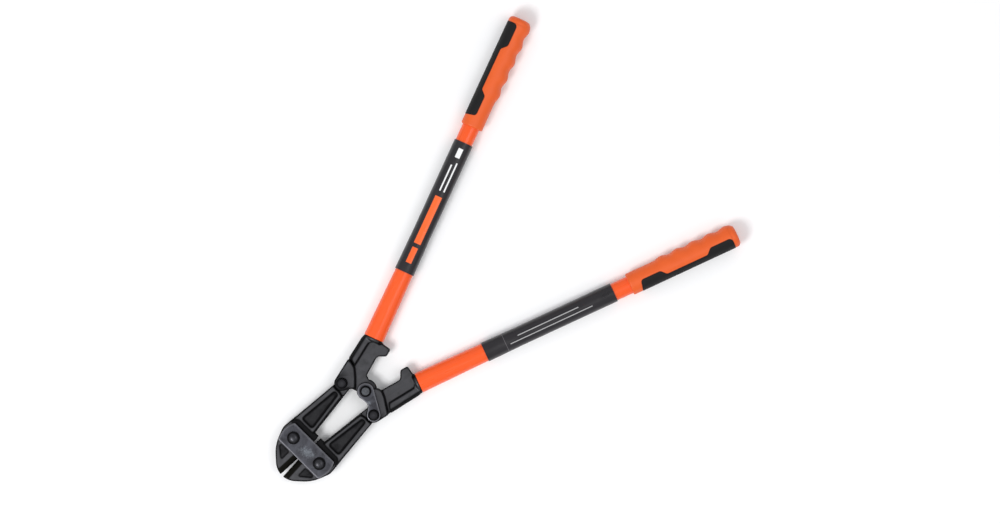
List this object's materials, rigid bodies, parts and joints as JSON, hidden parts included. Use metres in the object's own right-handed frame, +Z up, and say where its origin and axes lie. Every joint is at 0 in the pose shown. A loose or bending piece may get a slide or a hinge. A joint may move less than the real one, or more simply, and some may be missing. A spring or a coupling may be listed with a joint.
{
  "type": "bolt cutters",
  "caption": "Compound-lever bolt cutters: forged jaws between side straps, forged levers with stop hooks, painted tube handles with black sleeves and moulded two-material grips.",
  "frame": {"origin": "on the floor plane, directly under the centre pivot bolt, which lies between the two levers", "axes": "+X from the jaws towards the handles along the tool's centreline, +Y to the left handle, +Z up, along every pivot"},
  "size_m": [0.5918, 0.3882, 0.0298],
  "materials": {
    "forged_steel": "forged and oil-blackened, satin",
    "blued_plate": "blued plate with handling scratches",
    "black_oxide": "black oxide, satin",
    "turned_steel": "turned, lightly oxidised",
    "orange_enamel": "gloss powder coat",
    "orange_moulding": "moulded, satin",
    "black_sleeve": "soft gloss",
    "soft_insert": "matt soft moulding"
  },
  "bodies": {
    "straps": {"strap_front": "blued_plate", "strap_rear": "blued_plate", "jaw_bolt_left": "black_oxide", "jaw_bolt_right": "black_oxide", "jaw_nut_left": "black_oxide", "jaw_nut_right": "black_oxide"},
    "jaw_left_body": {"jaw_left": "forged_steel"},
    "jaw_right_body": {"jaw_right": "forged_steel"},
    "handle_left": {"lever_left": "forged_steel", "tail_washer_left": "black_oxide", "tail_bolt_left": "black_oxide", "tail_nut_left": "black_oxide", "handle_tube_left": "orange_enamel", "handle_sleeve_left": "black_sleeve", "grip_left": "orange_moulding", "grip_insert_left": "soft_insert"},
    "handle_right": {"lever_right": "forged_steel", "link_plate_front": "blued_plate", "link_plate_rear": "blued_plate", "pivot_washer": "black_oxide", "pivot_bolt": "turned_steel", "pivot_nut": "black_oxide", "tail_washer_right": "black_oxide", "tail_bolt_right": "black_oxide", "tail_nut_right": "black_oxide", "handle_tube_right": "orange_enamel", "handle_sleeve_right": "black_sleeve", "grip_right": "orange_moulding", "grip_insert_right": "soft_insert"}
  },
  "joints": [
    {"name": "left_handle_swing", "type": "hinge", "parent": "jaw_left_body", "child": "handle_left", "pos_m": [-0.01329, 0.02689, 0.015], "axis": [0, 0, 1], "range_deg": [-17.71, 29.12]},
    {"name": "left_jaw_swing", "type": "hinge", "parent": "straps", "child": "jaw_left_body", "pos_m": [-0.1004, 0.0217, 0.015], "axis": [0, 0, 1], "range_deg": [-4.13, 2.51]},
    {"name": "right_jaw_swing", "type": "hinge", "parent": "straps", "child": "jaw_right_body", "pos_m": [-0.1004, -0.0217, 0.015], "axis": [0, 0, 1], "range_deg": [-2.51, 4.13]},
    {"name": "right_handle_swing", "type": "hinge", "parent": "jaw_right_body", "child": "handle_right", "pos_m": [-0.01329, -0.02689, 0.015], "axis": [0, 0, 1], "range_deg": [-29.13, 17.71]}
  ],
  "couplings": [
    {"joint": "left_jaw_swing", "follows": "left_handle_swing", "ratio": -0.14163},
    {"joint": "right_jaw_swing", "follows": "left_handle_swing", "ratio": 0.14163},
    {"joint": "right_handle_swing", "follows": "left_handle_swing", "ratio": -1}
  ]
}
